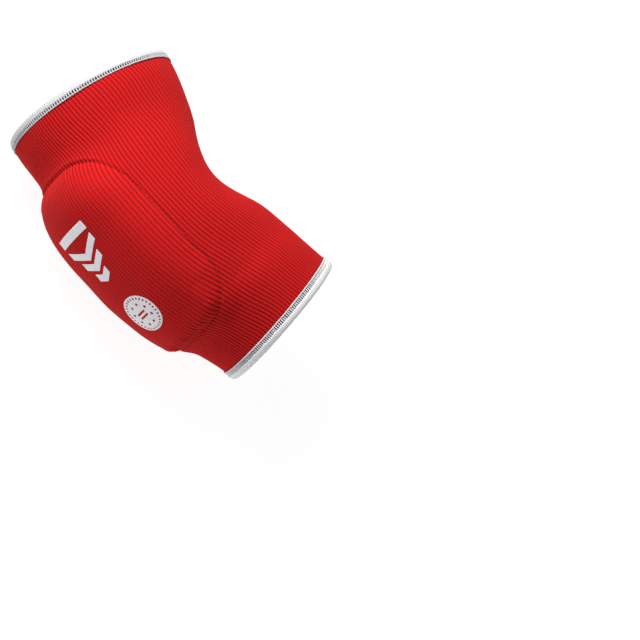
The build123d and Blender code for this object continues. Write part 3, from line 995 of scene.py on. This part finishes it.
def chevron(point, half, band=5.5, rake=0.53):
    """A V band whose inner point is at that x and whose arms reach that far to both sides."""
    arm = point - rake * half
    lower = [(arm, -half), (arm + band, -half), (point + band, 0.0)]
    return lower + [(arm + band, half), (arm, half), (point, 0.0)]


MARK_S = -5.0
mark_shapes = [laid(MARK_S, shape) for shape in (
    bar(-20.0, -14.0, -16.0, 16.0), chevron(-2.9, 15.0), chevron(5.6, 10.6), chevron(14.1, 6.2),
)]
mark = finish_piece(film("pad_mark_film", mark_shapes, []), print_white)
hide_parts("pad_mark")

SEAL_S, SEAL_R = 33.0, 14.5
SEAL_DASHES, SEAL_DOTS = 30, 8
seal_holes = []
for i in range(SEAL_DASHES):
    a = TAU * i / SEAL_DASHES
    b = a + TAU / SEAL_DASHES * 0.42
    low, high = SEAL_R * 0.80, SEAL_R * 0.91
    dash = ((low, a), (high, a), (high, b), (low, b))
    seal_holes.append([(r * math.cos(t), r * math.sin(t)) for r, t in dash])
for i in range(SEAL_DOTS):
    a = TAU * (i + 0.5) / SEAL_DOTS
    seal_holes.append(disc(SEAL_R * 0.55 * math.cos(a), SEAL_R * 0.55 * math.sin(a), 1.0, 12))
seal_holes += [bar(x - 0.7, x + 0.7, -4.6, 4.6) for x in (-1.5, 1.5)]
seal_holes = [laid(SEAL_S, hole) for hole in seal_holes]
seal = film("pad_seal_film", [laid(SEAL_S, disc(0, 0, SEAL_R))], seal_holes, 0.45)
finish_piece(seal, print_white)
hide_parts("pad_seal")
for piece in (mark, seal):
    bends(piece)


# ---------------------------------------- care label, blank, inside the upper cuff
def care_label():
    """A folded loop of satin tape that hangs from under the overlock."""
    point, out, padward, up = hem_frame(UPPER_END)
    low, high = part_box("care_label")
    centre = (np.array(low) + np.array(high)) / 2 / MM - point
    across_part = centre - out * np.dot(centre, out)
    base = math.atan2(np.dot(across_part, up), np.dot(across_part, padward))
    half = math.radians(5.5)
    rows, columns = 26, 15
    points = []
    radius = UPPER_R - KNIT - 0.95
    for side in (0, 1):
        for i in range(rows):
            t = i / (rows - 1)
            depth = HEM - 0.6 + 11.5 * t
            gap = 0.16 + 0.75 * math.sin(math.pi * t) ** 2 * (0.6 if side else 0.25)
            if i == rows - 1:
                gap = 0.18
            for j in range(columns):
                a = base + half * (2 * j / (columns - 1) - 1)
                curl = 0.35 * (2 * j / (columns - 1) - 1) ** 2 * t
                r = radius - side * gap - curl
                direction = padward * math.cos(a) + up * math.sin(a)
                points.append(point + direction * r - out * depth)
    n = rows * columns
    front = grid_faces(rows, columns, 0, wrap=False)
    back = grid_faces(rows, columns, n, wrap=False, flip=True)
    rim = [j for j in range(columns)] + [i * columns + columns - 1 for i in range(1, rows)]
    rim += [(rows - 1) * columns + j for j in range(columns - 2, -1, -1)]
    rim += [i * columns for i in range(rows - 2, 0, -1)]
    edge = [[a, b, b + n, a + n] for a, b in zip(rim, rim[1:] + rim[:1])]
    faces = [list(q) for q in front] + [list(q) for q in back] + [q[::-1] for q in edge]
    obj = new_object("care_label_tape", points, faces)
    bm = bmesh.new()
    bm.from_mesh(obj.data)
    bmesh.ops.recalc_face_normals(bm, faces=bm.faces)
    bm.to_mesh(obj.data)
    bm.free()
    uv = [(j / 2.0, i / 2.0) for _ in (0, 1) for i in range(rows) for j in range(columns)]
    set_uv(obj, np.array(uv))
    return obj


label = finish_piece(care_label(), label_white)
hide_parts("care_label")
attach(label, "upper_arm")


# ------------------------------------------------------------------ floor, light and camera
FLOOR_HALF = 6.0
FLOOR_DROP = 0.0005       # below the lowest point of the part
FLOOR_GLOW = 0.94
WORLD_STRENGTH = 0.31
KEY_SIZE, KEY_POWER = 0.42, 7.1

floor_mesh = bpy.data.meshes.new("floor")
floor_z = cad_box[0][2] - FLOOR_DROP
floor_corners = [(x * FLOOR_HALF, y * FLOOR_HALF, floor_z) for x, y in ((-1, -1), (1, -1), (1, 1), (-1, 1))]
floor_mesh.from_pydata(floor_corners, [], [(0, 1, 2, 3)])
floor = bpy.data.objects.new("floor", floor_mesh)
bpy.context.scene.collection.objects.link(floor)
paper = Nodes("paper")
paper.surface((0.12, 0.12, 0.12), 0.9, Emission_Color=(1, 1, 1, 1), Emission_Strength=FLOOR_GLOW)
floor_mesh.materials.append(paper.material)

world = bpy.data.worlds.new("studio")
bpy.context.scene.world = world
world.use_nodes = True
world.node_tree.nodes["Background"].inputs[0].default_value = (1, 1, 1, 1)
world.node_tree.nodes["Background"].inputs[1].default_value = WORLD_STRENGTH


def area_light(name, at, target, size, power):
    light = bpy.data.lights.new(name, "AREA")
    light.size = size
    light.energy = power
    obj = bpy.data.objects.new(name, light)
    obj.location = at
    obj.rotation_euler = (Vector(target) - Vector(at)).to_track_quat("-Z", "Y").to_euler()
    bpy.context.scene.collection.objects.link(obj)


AZIMUTH, ELEVATION, ROLL = math.radians(7.0), math.radians(54.0), math.radians(44.0)
DISTANCE = 1.8
PICTURE = 640             # the picture's width and height, in units
MM_PER_UNIT = 0.65        # at the origin
SENSOR = 36.0
ORIGIN_AT = (163.5, 213.0)
flat_x, flat_y = math.sin(AZIMUTH), -math.cos(AZIMUTH)
towards = Vector((flat_x * math.cos(ELEVATION), flat_y * math.cos(ELEVATION), math.sin(ELEVATION)))
level = Vector((math.cos(AZIMUTH), math.sin(AZIMUTH), 0))
upright = towards.cross(level)
right = level * math.cos(ROLL) + upright * math.sin(ROLL)
above = upright * math.cos(ROLL) - level * math.sin(ROLL)
scale = MM_PER_UNIT * MM
target = right * ((PICTURE / 2 - ORIGIN_AT[0]) * scale) - above * ((PICTURE / 2 - ORIGIN_AT[1]) * scale)
camera_at = towards * DISTANCE
back = (camera_at - target).normalized()
side_axis = above.cross(back).normalized()
top_axis = back.cross(side_axis)
camera_data = bpy.data.cameras.new("camera")
camera_data.sensor_width = SENSOR
camera_data.lens = SENSOR * DISTANCE / (PICTURE * scale)
camera_data.clip_start = 0.05
camera = bpy.data.objects.new("camera", camera_data)
camera.matrix_world = Matrix((
    (side_axis.x, top_axis.x, back.x, camera_at.x),
    (side_axis.y, top_axis.y, back.y, camera_at.y),
    (side_axis.z, top_axis.z, back.z, camera_at.z),
    (0, 0, 0, 1),
))
bpy.context.scene.collection.objects.link(camera)
bpy.context.scene.camera = camera
bpy.context.scene.view_settings.view_transform = "Standard"

centre = Vector((0, 0, 0))
area_light("key", right * -0.06 + above * 0.59 + towards * 0.41, centre, KEY_SIZE, KEY_POWER)
